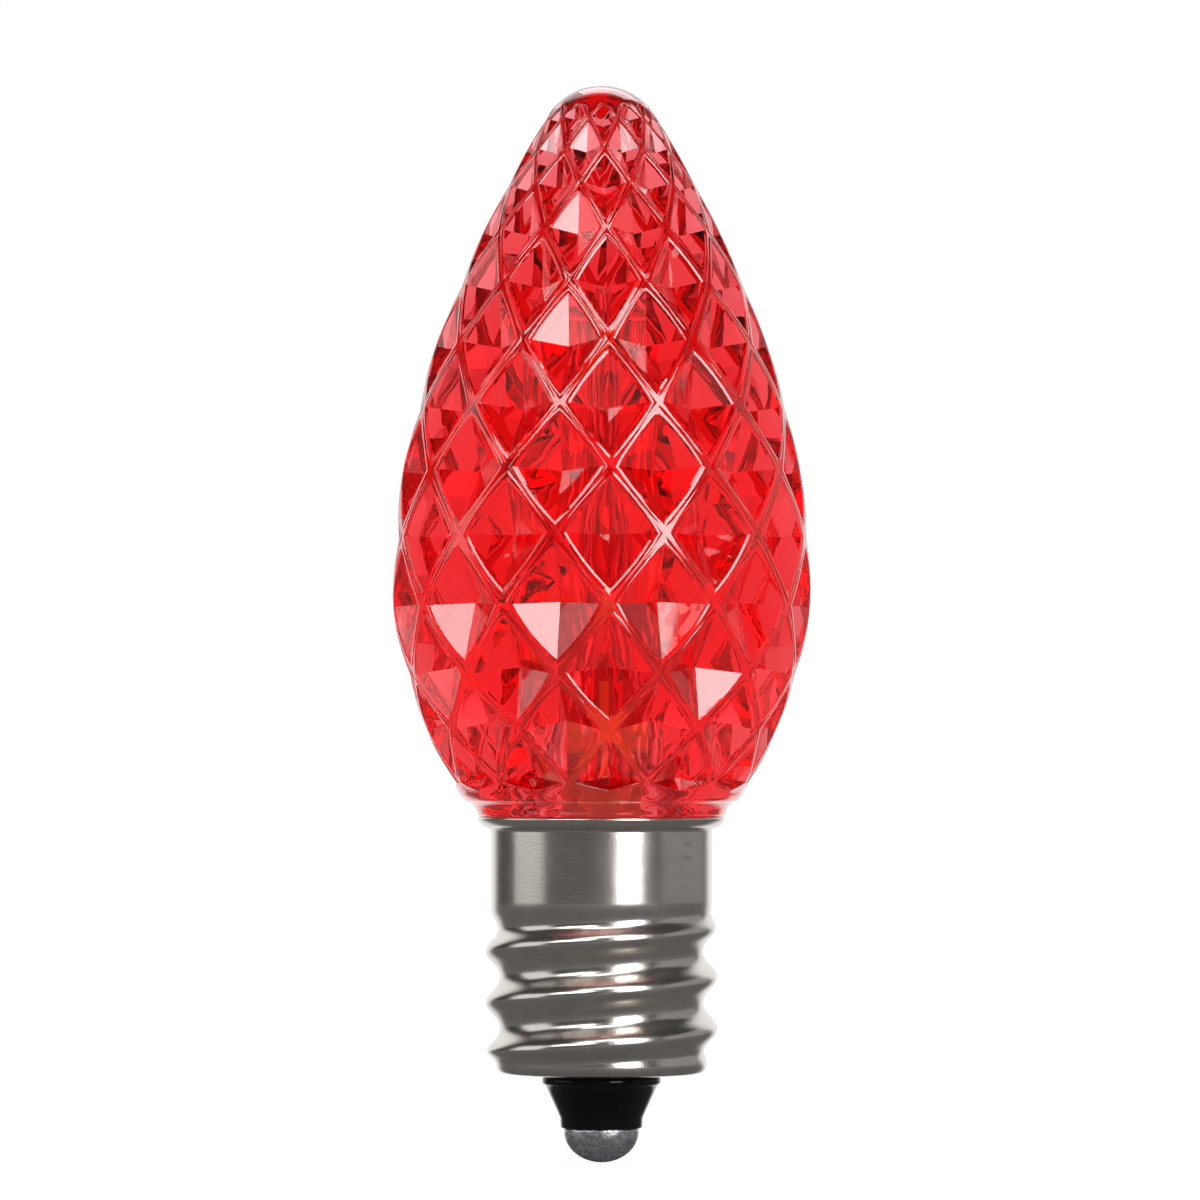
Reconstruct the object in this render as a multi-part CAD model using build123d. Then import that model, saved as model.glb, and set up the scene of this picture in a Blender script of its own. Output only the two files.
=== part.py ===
from build123d import *
import os
from math import atan2, cos, hypot, pi, radians, sin, sqrt

# Faceted retrofit lamp for a string of festive lights, on a small screw cap.
# Millimetres. The lamp stands on its centre contact: the axis is +Z and the
# origin is the lowest point of the contact. +X is to the right and -Y to the
# front.

# Centre contact: a solder dome on a short stem
CONTACT_RADIUS = 1.86
CONTACT_HEIGHT = 1.71
CONTACT_SIDE = 0.14
DOME_CHORDS = 7
STEM_RADIUS = 0.95
STEM_LENGTH = 1.10
STEM_CLEARANCE = 0.03

# Insulator: a moulded cone under the shell, with a flange inside it
CONE_SMALL_RADIUS = 2.02
CONE_LARGE_RADIUS = 2.78
CONE_SIDE = 0.50
LIP_RADIUS = 2.93
LIP_THICKNESS = 0.40
LIP_ROUND = 0.13
NECK_CLEARANCE = 0.08
FLANGE_GAP = 0.64
FLANGE_THICKNESS = 1.20
LEAD_HOLE_RADIUS = 0.45

# Screw shell: one plated sheet
SHEET = 0.30
SHELL_FOOT = 4.38
SHELL_HOLE_RADIUS = 2.45
SHELL_DISH = 0.14
DISH_MARGIN = 0.10
SHELL_CORNER = 0.45
FOOT_CHORDS = 3
COLLAR_RADIUS = 5.475
FOOT_STEP = 0.275
FOOT_WALL_RADIUS = COLLAR_RADIUS - FOOT_STEP
COLLAR_FOOT = 12.85
COLLAR_LENGTH = 4.25
SHELL_MOUTH = COLLAR_FOOT + COLLAR_LENGTH
FLARE_LENGTH = 0.64
FLARE_FOOT = SHELL_MOUTH - FLARE_LENGTH
FLARE_WIDTH = 0.655
MOUTH_RADIUS = COLLAR_RADIUS + FLARE_WIDTH
MOUTH_EDGE = 0.15
FLARE_HANDLE = 0.38
FLARE_CHORDS = 4
FUNNEL_WIDTH = 0.25
FUNNEL_DEPTH = 0.44
SWAGE_STEP = 0.03

# Rolled thread of the shell
CREST_RISE = 0.255
CREST_RADIUS = COLLAR_RADIUS + CREST_RISE
ROOT_DEPTH = 0.435
ROOT_RADIUS = COLLAR_RADIUS - ROOT_DEPTH
THREAD_PITCH = 2.54
CREST_AT_X = 6.62
CREST_SHARPNESS = 1.3
RUN_IN = 0.80
RUN_OUT = 1.75
TURN_POINTS = 32
RISE_POINTS = 26

# Lens: heights are above its foot, where it meets the shell
LENS_LENGTH = 36.20
BELLY_RADIUS = 10.40
BELLY_HEIGHT = 11.40
BAND_OVERHANG = 0.72
BAND_RADIUS = MOUTH_RADIUS + BAND_OVERHANG
BAND_HEIGHT = 0.80
BAND_SLOPE = 0.60
BAND_CORNER = 0.95
BAND_CHORDS = 4
TIP_BEND = 3.15
TIP_SLOPE = -0.62
SPIGOT_CLEARANCE = 0.08
SPIGOT_GAP = 0.95
SPIGOT_LENGTH = COLLAR_LENGTH - SPIGOT_GAP
BORE_MOUTH_RADIUS = 3.80
BORE_END_RADIUS = 1.50
BORE_END_CONE = 1.00
BORE_LENGTH = 29.0

# Net of ribs on the lens, with a four-sided pit in each diamond
CELLS_AROUND = 12
NET_TURN = 2.3
NET_FOOT = 1.12
NET_TOP_GAP = 0.95
NET_STEPS = (0.45, 2.69, 2.72, 3.37, 3.46, 3.24, 3.14, 3.13, 2.94, 2.66, 2.25, 1.80, 1.60, 0.75)
RIB_SHARE = 0.15
PIT_SLOPE = 0.65

# Circuit board: stands on the insulator, under the spigot and up the bore
BOARD_THICKNESS = 0.80
BOARD_CLEARANCE = 0.20
SHOULDER_GAP = 0.10
TONGUE_WIDTH = 4.00
TONGUE_LENGTH = 13.30
BOARD_CORNER = 0.40

# Parts on the board: width, depth and height, and the height of the middle
# above the board's shoulder or foot
EMITTER_SIZE = (2.60, 1.10, 3.00)
EMITTER_RISE = 8.30
TOP_EMITTER_SIZE = (1.80, 1.00, 1.80)
WINDOW_MARGIN = 0.30
WINDOW_HEIGHT = 0.30
WINDOW_SLOPE = 0.20
RECTIFIER_SIZE = (3.80, 1.60, 3.20)
RECTIFIER_RISE = 3.86
RESISTOR_SIZE = (3.10, 0.60, 1.60)
RESISTOR_RISE = 2.66
CAPACITOR_SIZE = (3.20, 1.40, 1.60)
CAPACITOR_RISE = 5.66
PART_EDGE = 0.15

# Wires
WIRE_RADIUS = 0.25
WIRE_CORNER = 0.80
WIRE_REACH = 2.10
SIDE_LEAD_X = -2.45
SIDE_LEAD_RISE = 1.46

def lens_handles():
    """Ends and handles of the two curves of the lens outline, as radius and height."""
    slant = hypot(1.0, TIP_SLOPE)
    tip = (TIP_BEND / slant, LENS_LENGTH - TIP_BEND * (1.0 + TIP_SLOPE / slant))
    low = (BAND_RADIUS, BAND_HEIGHT)
    belly = (BELLY_RADIUS, BELLY_HEIGHT)
    third = (belly[1] - low[1]) / 3
    leave_low = (low[0] + BAND_SLOPE * third, low[1] + third)
    reach_belly = (belly[0], belly[1] - third)
    third = (tip[1] - belly[1]) / 3
    leave_belly = (belly[0], belly[1] + third)
    reach_tip = (tip[0] - TIP_SLOPE * third, tip[1] - third)
    return (low, leave_low, reach_belly, belly), (belly, leave_belly, reach_tip, tip)


def lens_radius(height):
    """Radius of the lens outline at a height above its foot."""
    rise, fall = lens_handles()
    if height > fall[3][1]:
        return sqrt(TIP_BEND**2 - (height - LENS_LENGTH + TIP_BEND) ** 2)
    curve = rise if height < rise[3][1] else fall
    t = (height - curve[0][1]) / (curve[3][1] - curve[0][1])
    weights = ((1 - t) ** 3, 3 * t * (1 - t) ** 2, 3 * t * t * (1 - t), t**3)
    return sum(weight * handle[0] for weight, handle in zip(weights, curve))


def on_lens(turn, height):
    """Point of the lens outline, with its turn counted from the front."""
    angle = radians(turn - 90)
    radius = lens_radius(height)
    return Vector(radius * cos(angle), radius * sin(angle), SHELL_MOUTH + height)


def net_levels():
    """Heights of the crossings of the net, from the plain band up to the plain tip."""
    scale = (LENS_LENGTH - NET_FOOT - NET_TOP_GAP) / sum(NET_STEPS)
    levels = [NET_FOOT]
    for step in NET_STEPS:
        levels.append(levels[-1] + step * scale)
    return levels


def polygon(*corners):
    return Face(Wire.make_polygon(corners))


def net_cell(turn, low, middle, high):
    """Rib halves and pit facets of one diamond of the net."""
    half_step = 180.0 / CELLS_AROUND
    centre = on_lens(turn, middle)
    left = on_lens(turn - half_step, middle)
    right = on_lens(turn + half_step, middle)
    corners = [on_lens(turn, low), right, on_lens(turn, high), left]
    across = right - left
    along = corners[2] - corners[0]
    outward = across.cross(along).normalized()
    inradius = across.length * along.length / hypot(across.length, along.length) / 2
    pit = centre - outward * inradius * PIT_SLOPE
    rims = [centre + (corner - centre) * (1 - RIB_SHARE) for corner in corners]
    faces = []
    for side in range(4):
        after = (side + 1) % 4
        faces.append(polygon(corners[side], corners[after], rims[after], rims[side]))
        faces.append(polygon(rims[side], rims[after], pit))
    return faces


def net_end(end, crossing, first_turn):
    """Plain faces that take the first or last row of cells to a level edge, and its lid."""
    half_step = 180.0 / CELLS_AROUND
    faces = []
    for column in range(CELLS_AROUND):
        turn = first_turn + 2 * half_step * column
        node = on_lens(turn, crossing)
        middle = on_lens(turn, end)
        faces.append(polygon(node, on_lens(turn - half_step, end), middle))
        faces.append(polygon(node, middle, on_lens(turn + half_step, end)))
    rim = [on_lens(first_turn + half_step * step, end) for step in range(2 * CELLS_AROUND)]
    faces.append(polygon(*rim))
    return faces


def lens_net():
    """The faceted body of the lens, from cells that are turned around the axis."""
    levels = net_levels()
    half_step = 180.0 / CELLS_AROUND
    last_row = len(levels) - 2
    faces = net_end(levels[0], levels[1], NET_TURN + half_step)
    faces += net_end(levels[-1], levels[-2], NET_TURN + half_step * (last_row % 2))
    for row in range(1, last_row + 1):
        first_turn = NET_TURN + half_step * ((row + 1) % 2)
        for column in range(CELLS_AROUND):
            faces += net_cell(first_turn + 2 * half_step * column, *levels[row - 1 : row + 2])
    return Solid(Shell(faces))


def turned(*edges):
    """Solid of revolution about the axis from a closed outline in radius and height."""
    return revolve(Plane.XZ * make_face(Curve() + list(edges)), Axis.Z)


def chords(curve, count):
    """A curve as straight chords, so that the surface turned from it has few facets."""
    return Polyline(*[curve @ (step / count) for step in range(count + 1)])


def lens_tip():
    """Plain rounded tip above the net."""
    foot = net_levels()[-1]
    rim = (lens_radius(foot), foot)
    arc_end = lens_handles()[1][3]
    edges = []
    if foot < arc_end[1]:
        edges.append(Line(rim, arc_end))
    else:
        arc_end = rim
    centre_height = LENS_LENGTH - TIP_BEND
    half_angle = (pi / 2 + atan2(arc_end[1] - centre_height, arc_end[0])) / 2
    middle = (TIP_BEND * cos(half_angle), centre_height + TIP_BEND * sin(half_angle))
    edges.append(ThreePointArc(arc_end, middle, (0, LENS_LENGTH)))
    edges.append(Line((0, LENS_LENGTH), (0, foot)))
    edges.append(Line((0, foot), rim))
    return Pos(0, 0, SHELL_MOUTH) * turned(*edges)


def lens_band():
    """Plain band under the net, and the spigot that is cemented into the shell."""
    top = net_levels()[0]
    band = (BAND_RADIUS, BAND_HEIGHT)
    rim = (lens_radius(top), top)
    seat = (MOUTH_RADIUS, 0)
    spigot = COLLAR_RADIUS - SHEET - SPIGOT_CLEARANCE
    edges = [
        Line((0, -SPIGOT_LENGTH), (spigot, -SPIGOT_LENGTH)),
        Line((spigot, -SPIGOT_LENGTH), (spigot, 0)),
        Line((spigot, 0), seat),
        chords(RadiusArc(seat, band, -BAND_CORNER), BAND_CHORDS),
        Line(band, rim),
        Line(rim, (0, top)),
        Line((0, top), (0, -SPIGOT_LENGTH)),
    ]
    return Pos(0, 0, SHELL_MOUTH) * turned(*edges)


def lens_bore():
    """Tapered bore that the core pin of the mould leaves, with a coned end."""
    foot = -SPIGOT_LENGTH
    end = foot + BORE_LENGTH
    outline = Polyline(
        (0, foot),
        (BORE_MOUTH_RADIUS, foot),
        (BORE_END_RADIUS, end - BORE_END_CONE),
        (0, end),
        (0, foot),
    )
    return Pos(0, 0, SHELL_MOUTH) * turned(outline)


def lens():
    return lens_net() + lens_tip() + lens_band() - lens_bore()


def ease(share):
    """Smooth step from 0 to 1."""
    share = max(0.0, min(1.0, share))
    return share * share * (3 - 2 * share)


def thread_radius(turn, height):
    """Outer radius of the rolled sleeve, whose thread fades out at both ends."""
    foot = SHELL_FOOT + SHELL_CORNER
    along = (height - foot) / (COLLAR_FOOT - foot)
    plain = FOOT_WALL_RADIUS + (COLLAR_RADIUS - FOOT_WALL_RADIUS) * along - SWAGE_STEP
    phase = 2 * pi * ((height - CREST_AT_X) / THREAD_PITCH - turn / 360)
    wave = (0.5 + 0.5 * cos(phase)) ** CREST_SHARPNESS
    depth = ease((height - foot) / RUN_IN) * ease((COLLAR_FOOT - height) / RUN_OUT)
    threaded = ROOT_RADIUS + (CREST_RADIUS - ROOT_RADIUS) * wave
    return plain + (threaded - plain) * depth


def sleeve_plug():
    """Solid inside the outer skin of the rolled sleeve."""
    foot = SHELL_FOOT + SHELL_CORNER
    profiles = []
    for i in range(TURN_POINTS):
        turn = 360 * i / TURN_POINTS
        points = []
        for j in range(RISE_POINTS + 1):
            height = foot + (COLLAR_FOOT - foot) * j / RISE_POINTS
            radius = thread_radius(turn, height)
            points.append(Vector(radius * cos(radians(turn)), radius * sin(radians(turn)), height))
        profiles.append(points)
    curves = [Edge.make_spline(points) for points in profiles]
    faces = [Face.make_surface_from_curves(*pair) for pair in zip(curves, curves[1:] + curves[:1])]
    faces.append(polygon(*[points[0] for points in profiles]))
    faces.append(polygon(*[points[-1] for points in profiles]))
    return Solid(Shell(faces))


def threaded_sleeve():
    """Sleeve with its rolled thread outside and a plain bore."""
    foot = SHELL_FOOT + SHELL_CORNER
    bore = Pos(0, 0, (foot + COLLAR_FOOT) / 2) * Cylinder(ROOT_RADIUS - SHEET, COLLAR_FOOT - foot)
    return sleeve_plug() - bore


def dish_seat():
    """Radius of the flat ring around the shell's hole, on which the insulator sits."""
    return LIP_RADIUS + DISH_MARGIN


def dish_height(radius):
    """Height of the underside of the shell's foot at a radius."""
    share = (radius - dish_seat()) / (FOOT_WALL_RADIUS - SHELL_CORNER - dish_seat())
    return SHELL_FOOT - SHELL_DISH * (1 - share)


def shell_foot():
    """Turned-in foot of the shell, dished up to the hole for the insulator."""
    wall_foot = SHELL_FOOT + SHELL_CORNER
    wall_inside = FOOT_WALL_RADIUS - SHEET
    corner = FOOT_WALL_RADIUS - SHELL_CORNER
    dished = SHELL_FOOT - SHELL_DISH
    seat = dish_seat()
    outer_corner = RadiusArc((corner, SHELL_FOOT), (FOOT_WALL_RADIUS, wall_foot), -SHELL_CORNER)
    upper = Polyline(
        (FOOT_WALL_RADIUS, wall_foot),
        (wall_inside, wall_foot),
        (corner, SHELL_FOOT + SHEET),
        (seat, dished + SHEET),
        (SHELL_HOLE_RADIUS, dished + SHEET),
        (SHELL_HOLE_RADIUS, dished),
        (seat, dished),
        (corner, SHELL_FOOT),
    )
    return turned(chords(outer_corner, FOOT_CHORDS), upper)


def collar():
    """Plain collar of the shell with its flared mouth, funnelled inside for cement."""
    inside = COLLAR_RADIUS - SHEET
    flare = Bezier(
        (COLLAR_RADIUS, FLARE_FOOT),
        (COLLAR_RADIUS, FLARE_FOOT + FLARE_HANDLE),
        (MOUTH_RADIUS, SHELL_MOUTH - MOUTH_EDGE),
    )
    rest = Polyline(
        (MOUTH_RADIUS, SHELL_MOUTH - MOUTH_EDGE),
        (MOUTH_RADIUS, SHELL_MOUTH),
        (inside + FUNNEL_WIDTH, SHELL_MOUTH),
        (inside, SHELL_MOUTH - FUNNEL_DEPTH),
        (inside, COLLAR_FOOT),
        (COLLAR_RADIUS, COLLAR_FOOT),
        (COLLAR_RADIUS, FLARE_FOOT),
    )
    return turned(chords(flare, FLARE_CHORDS), rest)


def screw_shell():
    """Foot, rolled sleeve and collar of one plated sheet."""
    return shell_foot() + threaded_sleeve() + collar()


def centre_contact():
    """Solder dome with the stem that holds it in the insulator."""
    side_foot = CONTACT_HEIGHT - CONTACT_SIDE
    dome = EllipticalCenterArc((0, side_foot), CONTACT_RADIUS, side_foot, 270, arc_size=90)
    rest = Polyline(
        (CONTACT_RADIUS, side_foot),
        (CONTACT_RADIUS, CONTACT_HEIGHT),
        (STEM_RADIUS, CONTACT_HEIGHT),
        (STEM_RADIUS, CONTACT_HEIGHT + STEM_LENGTH),
        (0, CONTACT_HEIGHT + STEM_LENGTH),
        (0, 0),
    )
    return turned(chords(dome, DOME_CHORDS), rest)


def flange_top():
    """Height of the insulator's flange, on which the board stands."""
    return SHELL_FOOT - SHELL_DISH + SHEET + FLANGE_THICKNESS


def base_insulator():
    """Cone, lip and neck outside the shell's foot, and the flange that holds it there."""
    lip_top = SHELL_FOOT - SHELL_DISH
    lip_foot = lip_top - LIP_THICKNESS
    neck = SHELL_HOLE_RADIUS - NECK_CLEARANCE
    flange = ROOT_RADIUS - SHEET - FLANGE_GAP
    floor = lip_top + SHEET
    socket = CONTACT_HEIGHT + STEM_LENGTH
    outline = Polyline(
        (0, CONTACT_HEIGHT),
        (CONE_SMALL_RADIUS, CONTACT_HEIGHT),
        (CONE_SMALL_RADIUS, CONTACT_HEIGHT + CONE_SIDE),
        (CONE_LARGE_RADIUS, lip_foot),
        (LIP_RADIUS, lip_foot + LIP_ROUND),
        (LIP_RADIUS, lip_top - LIP_ROUND),
        (LIP_RADIUS - LIP_ROUND, lip_top),
        (neck, lip_top),
        (neck, floor),
        (dish_seat(), floor),
        (flange, dish_height(flange) + SHEET),
        (flange, flange_top()),
        (0, flange_top()),
        (0, CONTACT_HEIGHT),
    )
    stem_hole = Cylinder(STEM_RADIUS + STEM_CLEARANCE, STEM_LENGTH)
    stem_hole = Pos(0, 0, CONTACT_HEIGHT + STEM_LENGTH / 2) * stem_hole
    lead_length = flange_top() - socket
    lead_hole = Pos(0, 0, socket + lead_length / 2) * Cylinder(LEAD_HOLE_RADIUS, lead_length)
    return turned(outline) - stem_hole - lead_hole


def board_shoulder():
    """Height at which the board narrows, under the lens spigot."""
    return SHELL_MOUTH - SPIGOT_LENGTH - SHOULDER_GAP


def board_half_width():
    """Half width that the board's corners leave inside the rolled sleeve."""
    reach = ROOT_RADIUS - SHEET - BOARD_CLEARANCE
    return sqrt(reach**2 - (BOARD_THICKNESS / 2) ** 2)


def circuit_board():
    """Board with a wide foot in the shell and a narrow tongue in the bore."""
    foot = flange_top()
    shoulder = board_shoulder()
    wide = Pos(0, (foot + shoulder) / 2) * Rectangle(2 * board_half_width(), shoulder - foot)
    tongue = Pos(0, shoulder + TONGUE_LENGTH / 2) * Rectangle(TONGUE_WIDTH, TONGUE_LENGTH)
    outline = wide + tongue
    outer = outline.vertices().filter_by(lambda v: v.Y > shoulder + 1e-3 or v.Y < foot + 1e-3)
    outline = fillet(outer, BOARD_CORNER)
    return extrude(Plane.XZ * outline, BOARD_THICKNESS / 2, both=True)


def chip(size):
    """Moulded package, its back on the XZ plane and its front towards -Y."""
    width, depth, height = size
    body = Pos(0, -depth / 2, 0) * Box(width, depth, height)
    return chamfer(body.faces().sort_by(Axis.Y)[0].edges(), PART_EDGE)


def emitter(size):
    """Light-emitting diode package with its low round window."""
    width, depth, height = size
    foot = min(width, height) / 2 - WINDOW_MARGIN
    window = Cone(foot, foot - WINDOW_SLOPE, WINDOW_HEIGHT)
    return chip(size) + Pos(0, -depth - WINDOW_HEIGHT / 2, 0) * Rot(90, 0, 0) * window


def on_front(body, height):
    return Pos(0, -BOARD_THICKNESS / 2, height) * body


def on_back(body, height):
    return Rot(0, 0, 180) * on_front(body, height)


def led_top():
    """Upward diode on the end of the board's tongue."""
    return Pos(0, 0, board_shoulder() + TONGUE_LENGTH) * Rot(-90, 0, 0) * emitter(TOP_EMITTER_SIZE)


def contact_lead():
    """Wire from the stem of the contact up to the foot of the board."""
    start = CONTACT_HEIGHT + STEM_LENGTH
    length = flange_top() - start
    return Pos(0, 0, start + length / 2) * Cylinder(WIRE_RADIUS, length)


def shell_lead():
    """Wire down the front of the board and out to the sleeve."""
    y = -BOARD_THICKNESS / 2 - WIRE_RADIUS
    wall = -sqrt((ROOT_RADIUS - SHEET) ** 2 - (abs(y) + WIRE_RADIUS) ** 2)
    foot = flange_top() + SIDE_LEAD_RISE
    route = Polyline(
        (SIDE_LEAD_X, y, foot + WIRE_REACH),
        (SIDE_LEAD_X, y, foot + WIRE_CORNER),
        (SIDE_LEAD_X - WIRE_CORNER, y, foot),
        (wall, y, foot),
    )
    section = Plane(route @ 0, z_dir=route % 0) * Circle(WIRE_RADIUS)
    return sweep(section, route, transition=Transition.RIGHT)


NODES = {
    "lens": lens,
    "screw_shell": screw_shell,
    "base_insulator": base_insulator,
    "centre_contact": centre_contact,
    "contact_lead": contact_lead,
    "shell_lead": shell_lead,
    "circuit_board": circuit_board,
    "led_front": lambda: on_front(emitter(EMITTER_SIZE), board_shoulder() + EMITTER_RISE),
    "led_back": lambda: on_back(emitter(EMITTER_SIZE), board_shoulder() + EMITTER_RISE),
    "led_top": led_top,
    "rectifier": lambda: on_front(chip(RECTIFIER_SIZE), flange_top() + RECTIFIER_RISE),
    "dropper_resistor": lambda: on_back(chip(RESISTOR_SIZE), flange_top() + RESISTOR_RISE),
    "smoothing_capacitor": lambda: on_back(chip(CAPACITOR_SIZE), flange_top() + CAPACITOR_RISE),
}

os.makedirs("parts", exist_ok=True)
for name, make in NODES.items():
    export_step(make(), f"parts/{name}.step")
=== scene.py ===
from math import atan2, cos, exp, hypot, pi, radians, sin, sqrt

import bmesh
import bpy
from bpy.props import FloatProperty, FloatVectorProperty, IntProperty, PointerProperty
from bpy.types import Operator, Panel, PropertyGroup
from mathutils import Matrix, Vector


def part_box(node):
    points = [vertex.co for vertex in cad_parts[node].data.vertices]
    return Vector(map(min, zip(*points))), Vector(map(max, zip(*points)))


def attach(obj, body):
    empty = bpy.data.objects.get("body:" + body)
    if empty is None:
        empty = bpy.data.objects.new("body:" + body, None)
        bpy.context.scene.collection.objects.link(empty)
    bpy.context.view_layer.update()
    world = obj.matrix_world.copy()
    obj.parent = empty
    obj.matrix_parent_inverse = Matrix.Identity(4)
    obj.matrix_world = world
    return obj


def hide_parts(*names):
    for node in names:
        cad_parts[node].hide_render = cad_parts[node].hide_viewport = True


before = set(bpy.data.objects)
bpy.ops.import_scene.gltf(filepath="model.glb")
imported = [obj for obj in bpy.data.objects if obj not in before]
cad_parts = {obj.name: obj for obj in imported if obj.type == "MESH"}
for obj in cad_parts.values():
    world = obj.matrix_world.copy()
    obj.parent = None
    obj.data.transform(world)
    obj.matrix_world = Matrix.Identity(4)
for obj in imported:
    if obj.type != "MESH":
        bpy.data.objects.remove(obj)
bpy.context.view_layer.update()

bl_info = {
    "name": "Faceted Festive Lamp",
    "version": (1, 0, 0),
    "blender": (4, 5, 0),
    "location": "View3D > Sidebar > Festive Lamp",
    "description": "A small screw-cap lamp with a diamond-cut red lens, built on its packed frame",
    "category": "Object",
}

# The frame gives the places, in metres. The lamp's axis is +Z and its front is -Y.
MM = 0.001
LENS_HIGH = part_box("lens")[1]
SHELL_LOW, SHELL_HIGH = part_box("screw_shell")
DOME_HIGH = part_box("centre_contact")[1]
BODY = "root"
WHITE = (1.0, 1.0, 1.0, 1.0)


# Sizes and colours that a user may change


class LensSettings(PropertyGroup):
    cells_around: IntProperty(
        name="Cells around", description="Diamonds in one ring of the net", default=12, min=6
    )
    net_turn: FloatProperty(
        name="Net turn",
        description="Turn of the first column of diamonds from the front",
        default=radians(2.3),
        subtype="ANGLE",
    )
    belly_radius: FloatProperty(
        name="Belly radius", description="Widest radius of the lens", default=10.4 * MM, unit="LENGTH"
    )
    belly_height: FloatProperty(
        name="Belly height",
        description="Height of the widest ring above the lens foot",
        default=11.4 * MM,
        unit="LENGTH",
    )
    band_radius: FloatProperty(
        name="Band radius",
        description="Radius at the top of the rounded foot band",
        default=6.85 * MM,
        unit="LENGTH",
    )
    band_height: FloatProperty(
        name="Band height", description="Height of the rounded foot band", default=0.8 * MM, unit="LENGTH"
    )
    tip_bend: FloatProperty(
        name="Tip bend", description="Radius of the plain rounded tip", default=3.15 * MM, unit="LENGTH"
    )
    rib_share: FloatProperty(
        name="Rib share",
        description="Half width of a rib over the inner radius of its diamond",
        default=0.15,
    )
    pit_slope: FloatProperty(
        name="Pit slope",
        description="Depth of a pit over the inner radius of its diamond",
        default=0.62,
        min=0.1,
    )
    edge_round: FloatProperty(
        name="Edge round", description="Rounding along the rim of each pit", default=0.2 * MM, unit="LENGTH"
    )
    rib_groove: FloatProperty(
        name="Rib groove", description="Depth of the groove along each rib", default=0.07 * MM, unit="LENGTH"
    )
    bore_mouth: FloatProperty(
        name="Bore mouth",
        description="Radius of the bore where it opens into the cap",
        default=3.8 * MM,
        unit="LENGTH",
    )
    bore_end: FloatProperty(
        name="Bore end",
        description="Radius of the bore under its closed end",
        default=1.5 * MM,
        unit="LENGTH",
    )
    bore_length: FloatProperty(
        name="Bore length",
        description="Depth of the bore from the foot of the spigot",
        default=29.0 * MM,
        unit="LENGTH",
    )
    tint: FloatVectorProperty(
        name="Tint",
        description="Colour that the clear red plastic lets through",
        default=(0.995, 0.045, 0.11),
        subtype="COLOR",
        min=0.0,
        max=1.0,
    )
    density: FloatProperty(
        name="Density", description="Strength of the tint in each metre", default=290.0, min=0.0
    )
    ior: FloatProperty(name="IOR", description="Refractive index of the plastic", default=1.38, min=1.0)
    satin: FloatProperty(
        name="Satin", description="Roughness of the tops of the ribs", default=0.3, min=0.0, max=1.0
    )


class CapSettings(PropertyGroup):
    thread_pitch: FloatProperty(
        name="Thread pitch",
        description="Rise of the rolled thread in one turn",
        default=2.54 * MM,
        unit="LENGTH",
    )
    crest_radius: FloatProperty(
        name="Crest radius", description="Radius of the thread's crests", default=5.73 * MM, unit="LENGTH"
    )
    root_radius: FloatProperty(
        name="Root radius", description="Radius of the thread's roots", default=5.04 * MM, unit="LENGTH"
    )
    collar_radius: FloatProperty(
        name="Collar radius", description="Radius of the plain collar", default=5.475 * MM, unit="LENGTH"
    )
    collar_foot: FloatProperty(
        name="Collar foot",
        description="Height at which the thread has died out",
        default=12.85 * MM,
        unit="LENGTH",
    )
    sheet: FloatProperty(
        name="Sheet", description="Thickness of the plated sheet", default=0.3 * MM, unit="LENGTH"
    )
    plate_colour: FloatVectorProperty(
        name="Plate colour",
        description="Colour of the nickel plate",
        default=(0.74, 0.69, 0.64),
        subtype="COLOR",
        min=0.0,
        max=1.0,
    )
    cone_colour: FloatVectorProperty(
        name="Cone colour",
        description="Colour of the insulator",
        default=(0.0035, 0.0032, 0.0035),
        subtype="COLOR",
        min=0.0,
        max=1.0,
    )
    solder_colour: FloatVectorProperty(
        name="Solder colour",
        description="Colour of the centre contact",
        default=(0.75, 0.75, 0.77),
        subtype="COLOR",
        min=0.0,
        max=1.0,
    )


class StageSettings(PropertyGroup):
    camera_distance: FloatProperty(
        name="Camera distance",
        description="From the lamp's axis to the camera",
        default=396 * MM,
        unit="LENGTH",
    )
    camera_rise: FloatProperty(
        name="Camera rise", description="Upward tilt of the camera", default=radians(1.0), subtype="ANGLE"
    )
    view_width: FloatProperty(
        name="View width",
        description="Width of the picture at the axis",
        default=59.4 * MM,
        unit="LENGTH",
    )
    key_light: FloatProperty(
        name="Key light", description="Brightness of the tall lamp on the right", default=6.0
    )
    side_light: FloatProperty(
        name="Side light", description="Brightness of the wide lamp on the left", default=0.88
    )
    top_light: FloatProperty(
        name="Top light", description="Brightness of the lamp overhead", default=1.5
    )
    fill_light: FloatProperty(
        name="Fill light", description="Brightness of the two strips over the camera", default=4.5
    )
    room_light: FloatProperty(
        name="Room light", description="Brightness of the room around the lamp", default=0.25
    )


# Mesh helpers


def finished_piece(bm, name, node):
    """Makes a piece from a mesh. It then stands for a node of the frame."""
    bmesh.ops.remove_doubles(bm, verts=bm.verts, dist=1e-4 * MM)
    bmesh.ops.recalc_face_normals(bm, faces=bm.faces)
    mesh = bpy.data.meshes.new(name)
    bm.to_mesh(mesh)
    bm.free()
    piece = bpy.data.objects.new(name, mesh)
    bpy.context.scene.collection.objects.link(piece)
    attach(piece, BODY)
    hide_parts(node)
    return piece


def smooth_all(bm):
    for face in bm.faces:
        face.smooth = True


def set_ring(verts, radius, height):
    """Puts vertices at one height, at a radius that may depend on their turn."""
    for vert in verts:
        turn = atan2(vert.co.y, vert.co.x)
        reach = radius(turn, height) if callable(radius) else radius
        vert.co = (reach * cos(turn), reach * sin(turn), height)


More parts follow.
